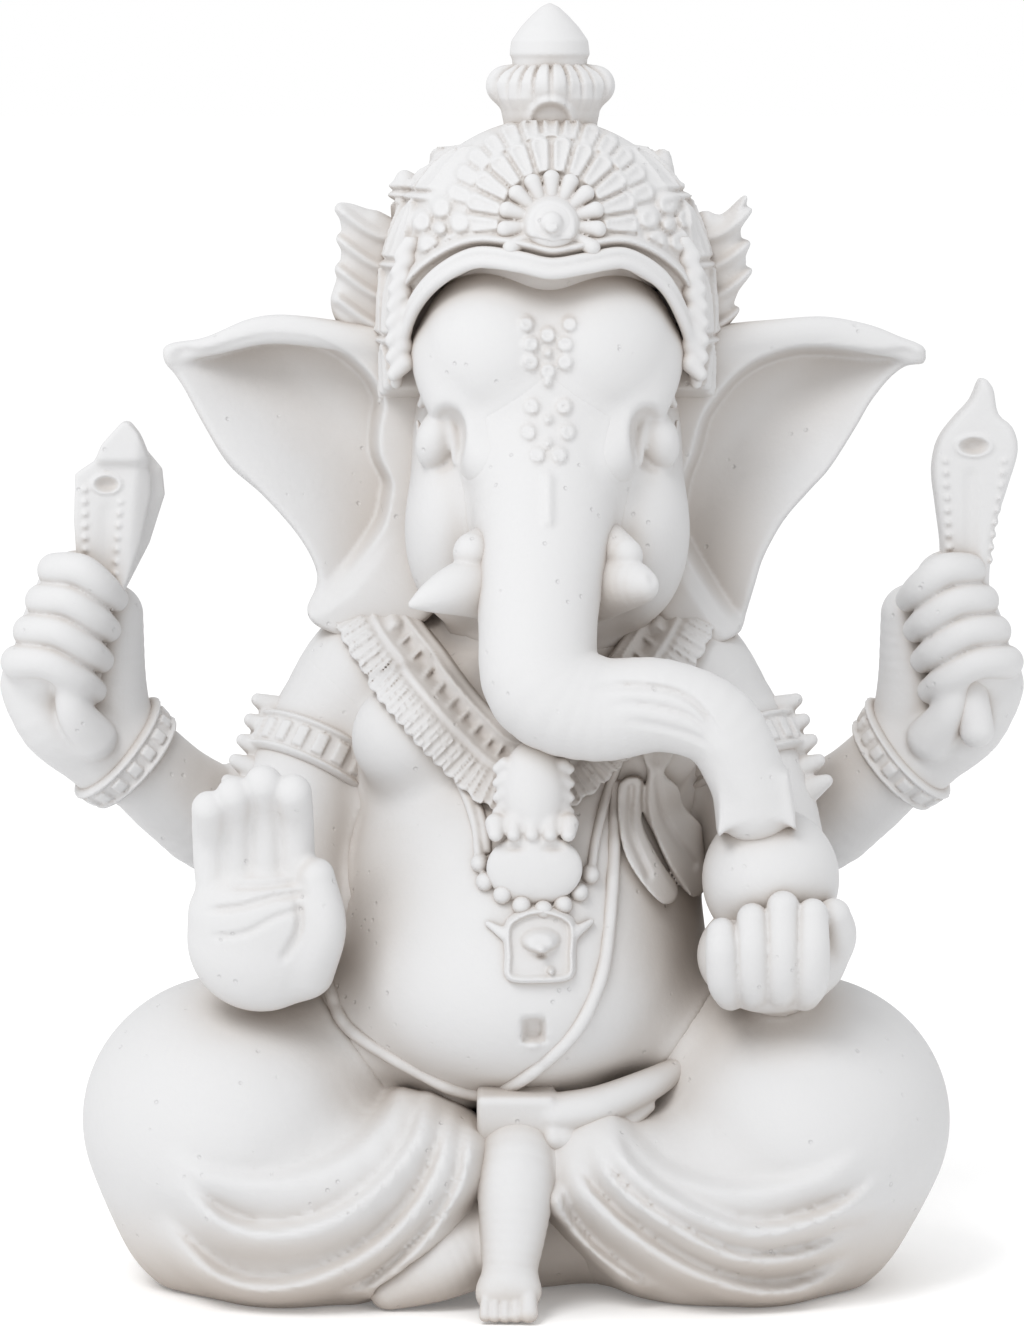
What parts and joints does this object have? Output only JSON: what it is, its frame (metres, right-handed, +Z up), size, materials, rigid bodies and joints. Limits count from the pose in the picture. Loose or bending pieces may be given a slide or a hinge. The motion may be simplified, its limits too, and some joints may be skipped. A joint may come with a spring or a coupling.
{
  "type": "ganesha idol",
  "caption": "Seated elephant-headed prayer idol in white cast plaster, cross-legged on a flat underside, with raised hands, wide ears, domed crown and curled trunk.",
  "frame": {"origin": "centre of the bounding box's bottom face, on the surface that the idol rests on", "axes": "+Z up along the figure's height, the figure faces -Y, +X towards the figure's own left"},
  "size_m": [0.1232, 0.0712, 0.152],
  "materials": {
    "plaster": "matte"
  },
  "bodies": {
    "root": {"crown_rosette": "plaster", "crown_rim": "plaster", "necklace_pendant": "plaster", "bib_pendant": "plaster", "bead_necklace": "plaster", "sacred_thread": "plaster", "crown_bud": "plaster", "crown_cup": "plaster", "right_crown_flame": "plaster", "left_crown_flame": "plaster", "right_armband": "plaster", "left_armband": "plaster", "rear_right_bracelet": "plaster", "rear_left_bracelet": "plaster", "rear_right_attribute": "plaster", "rear_left_attribute": "plaster", "trunk": "plaster", "right_tusk": "plaster", "left_tusk": "plaster", "collar_necklace": "plaster", "sweet": "plaster", "shoulder_cloth": "plaster", "right_ear": "plaster", "left_ear": "plaster", "head": "plaster", "crown_dome": "plaster", "front_right_hand": "plaster", "front_left_hand": "plaster", "rear_right_hand": "plaster", "rear_left_hand": "plaster", "front_right_arm": "plaster", "front_left_arm": "plaster", "rear_right_arm": "plaster", "rear_left_arm": "plaster", "waist_sash": "plaster", "right_foot": "plaster", "left_foot": "plaster", "right_leg": "plaster", "left_leg": "plaster", "torso": "plaster", "seat": "plaster"}
  },
  "joints": []
}
